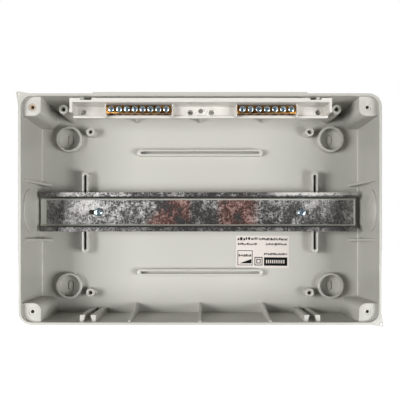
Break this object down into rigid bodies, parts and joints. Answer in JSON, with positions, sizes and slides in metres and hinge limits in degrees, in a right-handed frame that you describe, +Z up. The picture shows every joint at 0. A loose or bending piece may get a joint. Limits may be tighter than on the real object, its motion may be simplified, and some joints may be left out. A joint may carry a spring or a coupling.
{
  "type": "residential load center",
  "caption": "Open base of a surface-mount plastic load center: rounded box with corner posts, a top-hat mounting rail on two screws and a slide-in holder with neutral and earth terminal bars.",
  "frame": {"origin": "centre of the box's flat back, on the wall", "axes": "+X to the right along the rail, +Y into the wall, +Z up, seen by someone in front of the open box"},
  "size_m": [0.3012, 0.0722, 0.1928],
  "materials": {
    "box_plastic": "fine satin moulded plastic, light warm grey",
    "holder_plastic": "smooth moulded plastic, cream white",
    "galvanised_steel": "galvanised sheet with a mottled spangle",
    "zinc_plated_steel": "bright zinc plating, blue passivated",
    "brass": "drawn and drilled, bright edges",
    "label_paper": "coated white paper with black print"
  },
  "bodies": {
    "base": {"enclosure_base": "box_plastic", "rating_label": "label_paper"},
    "rail": {"din_rail": "galvanised_steel"},
    "left_rail_screw": {"rail_screw_left": "zinc_plated_steel"},
    "right_rail_screw": {"rail_screw_right": "zinc_plated_steel"},
    "holder": {"terminal_holder": "holder_plastic", "neutral_bar": "brass", "earth_bar": "brass"},
    "neutral_screw_1": {"neutral_screw_1": "zinc_plated_steel"},
    "neutral_screw_2": {"neutral_screw_2": "zinc_plated_steel"},
    "neutral_screw_3": {"neutral_screw_3": "zinc_plated_steel"},
    "neutral_screw_4": {"neutral_screw_4": "zinc_plated_steel"},
    "neutral_screw_5": {"neutral_screw_5": "zinc_plated_steel"},
    "neutral_screw_6": {"neutral_screw_6": "zinc_plated_steel"},
    "neutral_screw_7": {"neutral_screw_7": "zinc_plated_steel"},
    "neutral_screw_8": {"neutral_screw_8": "zinc_plated_steel"},
    "earth_screw_1": {"earth_screw_1": "zinc_plated_steel"},
    "earth_screw_2": {"earth_screw_2": "zinc_plated_steel"},
    "earth_screw_3": {"earth_screw_3": "zinc_plated_steel"},
    "earth_screw_4": {"earth_screw_4": "zinc_plated_steel"},
    "earth_screw_5": {"earth_screw_5": "zinc_plated_steel"},
    "earth_screw_6": {"earth_screw_6": "zinc_plated_steel"},
    "earth_screw_7": {"earth_screw_7": "zinc_plated_steel"}
  },
  "joints": [
    {"name": "rail_adjust", "type": "slide", "parent": "base", "child": "rail", "axis": [1, 0, 0], "range_m": [-0.001, 0.004]},
    {"name": "left_rail_screw_travel", "type": "slide", "parent": "base", "child": "left_rail_screw", "axis": [0, -1, 0], "range_m": [0, 0.004]},
    {"name": "right_rail_screw_travel", "type": "slide", "parent": "base", "child": "right_rail_screw", "axis": [0, -1, 0], "range_m": [0, 0.004]},
    {"name": "holder_slide", "type": "slide", "parent": "base", "child": "holder", "axis": [0, -1, 0], "range_m": [0, 0.018]},
    {"name": "neutral_screw_1_travel", "type": "slide", "parent": "holder", "child": "neutral_screw_1", "axis": [0, -1, 0], "range_m": [0, 0.004]},
    {"name": "neutral_screw_2_travel", "type": "slide", "parent": "holder", "child": "neutral_screw_2", "axis": [0, -1, 0], "range_m": [0, 0.004]},
    {"name": "neutral_screw_3_travel", "type": "slide", "parent": "holder", "child": "neutral_screw_3", "axis": [0, -1, 0], "range_m": [0, 0.004]},
    {"name": "neutral_screw_4_travel", "type": "slide", "parent": "holder", "child": "neutral_screw_4", "axis": [0, -1, 0], "range_m": [0, 0.004]},
    {"name": "neutral_screw_5_travel", "type": "slide", "parent": "holder", "child": "neutral_screw_5", "axis": [0, -1, 0], "range_m": [0, 0.004]},
    {"name": "neutral_screw_6_travel", "type": "slide", "parent": "holder", "child": "neutral_screw_6", "axis": [0, -1, 0], "range_m": [0, 0.004]},
    {"name": "neutral_screw_7_travel", "type": "slide", "parent": "holder", "child": "neutral_screw_7", "axis": [0, -1, 0], "range_m": [0, 0.004]},
    {"name": "neutral_screw_8_travel", "type": "slide", "parent": "holder", "child": "neutral_screw_8", "axis": [0, -1, 0], "range_m": [0, 0.004]},
    {"name": "earth_screw_1_travel", "type": "slide", "parent": "holder", "child": "earth_screw_1", "axis": [0, -1, 0], "range_m": [0, 0.004]},
    {"name": "earth_screw_2_travel", "type": "slide", "parent": "holder", "child": "earth_screw_2", "axis": [0, -1, 0], "range_m": [0, 0.004]},
    {"name": "earth_screw_3_travel", "type": "slide", "parent": "holder", "child": "earth_screw_3", "axis": [0, -1, 0], "range_m": [0, 0.004]},
    {"name": "earth_screw_4_travel", "type": "slide", "parent": "holder", "child": "earth_screw_4", "axis": [0, -1, 0], "range_m": [0, 0.004]},
    {"name": "earth_screw_5_travel", "type": "slide", "parent": "holder", "child": "earth_screw_5", "axis": [0, -1, 0], "range_m": [0, 0.004]},
    {"name": "earth_screw_6_travel", "type": "slide", "parent": "holder", "child": "earth_screw_6", "axis": [0, -1, 0], "range_m": [0, 0.004]},
    {"name": "earth_screw_7_travel", "type": "slide", "parent": "holder", "child": "earth_screw_7", "axis": [0, -1, 0], "range_m": [0, 0.004]}
  ]
}
